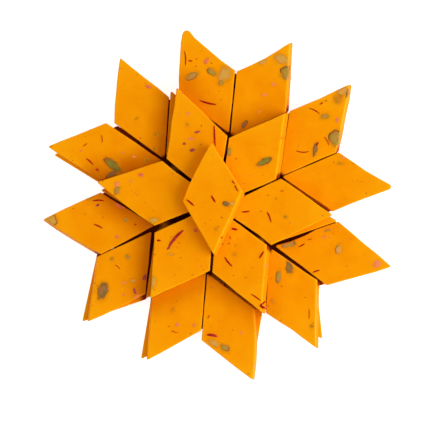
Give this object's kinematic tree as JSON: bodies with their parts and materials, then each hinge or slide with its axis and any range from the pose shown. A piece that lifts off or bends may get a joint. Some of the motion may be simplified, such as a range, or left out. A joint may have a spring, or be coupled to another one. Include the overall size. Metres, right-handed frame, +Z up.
{
  "type": "kaju katli star stack",
  "caption": "Saffron-orange cashew sweets: flat rhombus slabs stacked in tiers as a pointed star, topped by a slab, with pistachio slivers and saffron threads pressed in",
  "frame": {"origin": "on the underside, at the middle of the star's outline", "axes": "+Z up, the way the stack stands; +X and +Y lie in the plane it rests on, +X to the right and +Y to the top as seen from above"},
  "size_m": [0.1992, 0.2004, 0.0252],
  "materials": {
    "katli": "satin saffron cashew paste",
    "pistachio": "pistachio slivers pressed into the faces, olive green to pale, with purple skin",
    "saffron": "dry saffron threads, crimson",
    "rose": "dried rose petal bits, pink to plum"
  },
  "bodies": {
    "root": {"base_outer_01": "katli", "base_outer_02": "katli", "base_outer_03": "katli", "base_outer_04": "katli", "base_outer_05": "katli", "base_outer_06": "katli", "base_outer_07": "katli", "base_outer_08": "katli", "base_outer_09": "katli", "base_outer_10": "katli", "base_outer_11": "katli", "base_outer_12": "katli", "base_inner_01": "katli", "base_inner_02": "katli", "base_inner_03": "katli", "base_inner_04": "katli", "base_inner_05": "katli", "base_inner_06": "katli", "outer_01": "katli", "outer_02": "katli", "outer_03": "katli", "outer_04": "katli", "outer_05": "katli", "outer_06": "katli", "outer_07": "katli", "outer_08": "katli", "outer_09": "katli", "outer_10": "katli", "outer_11": "katli", "outer_12": "katli", "inner_01": "katli", "inner_02": "katli", "inner_03": "katli", "inner_04": "katli", "inner_05": "katli", "inner_06": "katli", "star_01": "katli", "star_02": "katli", "star_03": "katli", "star_04": "katli", "star_05": "katli", "star_06": "katli", "crown": "katli"}
  },
  "joints": []
}
